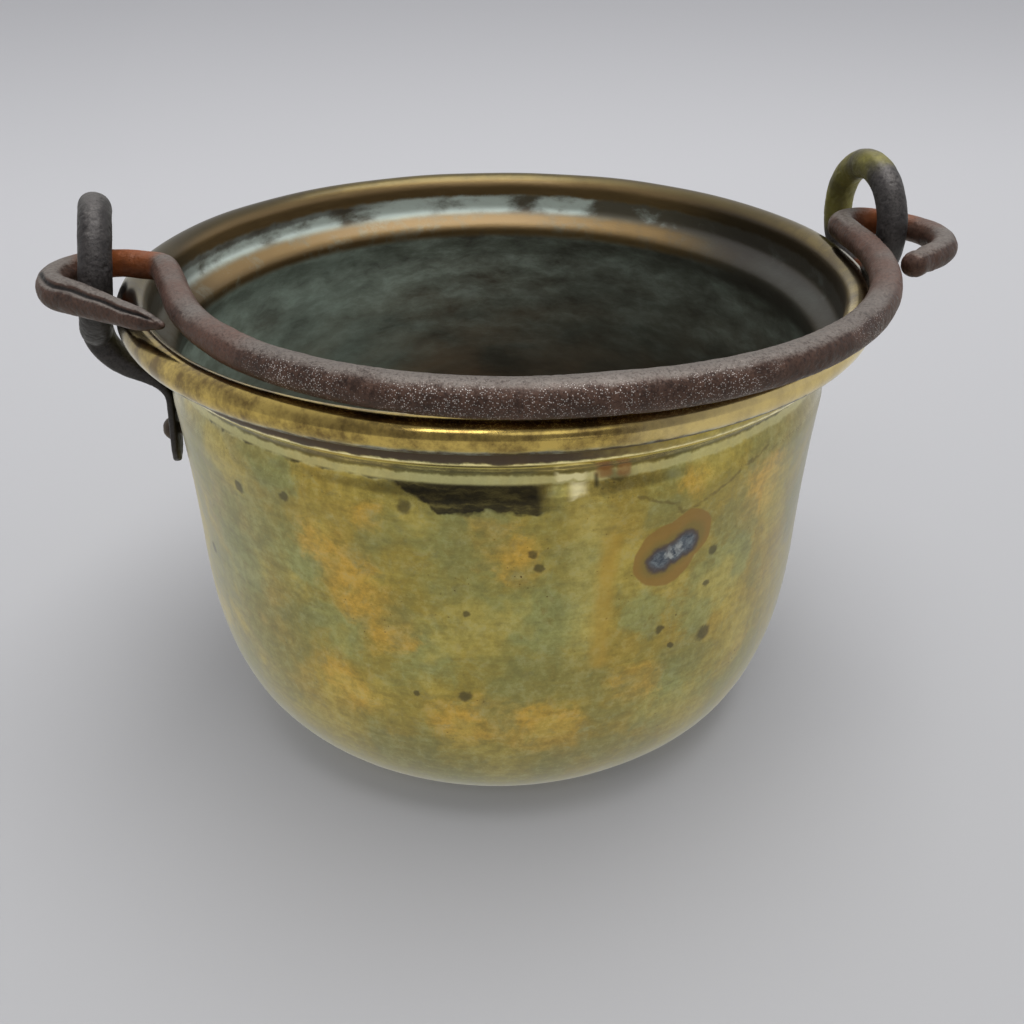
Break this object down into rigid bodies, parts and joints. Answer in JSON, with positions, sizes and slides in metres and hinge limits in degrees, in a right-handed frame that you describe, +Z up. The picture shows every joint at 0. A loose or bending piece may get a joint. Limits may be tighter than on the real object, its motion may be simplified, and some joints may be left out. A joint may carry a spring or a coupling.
{
  "type": "brass pot",
  "caption": "Small round brass cooking pot with a rolled rim, riveted iron ring ears and a forged iron bail that swings over the mouth.",
  "frame": {"origin": "middle of the flat base, on the surface that the pot stands on", "axes": "+Z up through the mouth; the two ears are on +X and -X; the bail lies folded on the rim towards -Y"},
  "size_m": [0.1806, 0.154, 0.1168],
  "materials": {
    "brass_sheet": "aged, patinated, rubbed bright on the rim",
    "rim_wire_iron": "dull",
    "ear_iron": "forged, dark, lightly rusted",
    "rivet_iron": "hammered",
    "bail_iron": "forged, pitted, rusted brown"
  },
  "bodies": {
    "pot": {"pot_body": "brass_sheet", "rim_wire": "rim_wire_iron", "left_ear": "ear_iron", "right_ear": "ear_iron", "left_rivet": "rivet_iron", "right_rivet": "rivet_iron"},
    "handle": {"bail": "bail_iron"}
  },
  "joints": [
    {"name": "bail_swing", "type": "hinge", "parent": "pot", "child": "handle", "pos_m": [0, 0, 0.1017], "axis": [-1, 0, 0], "range_deg": [0, 120]}
  ]
}
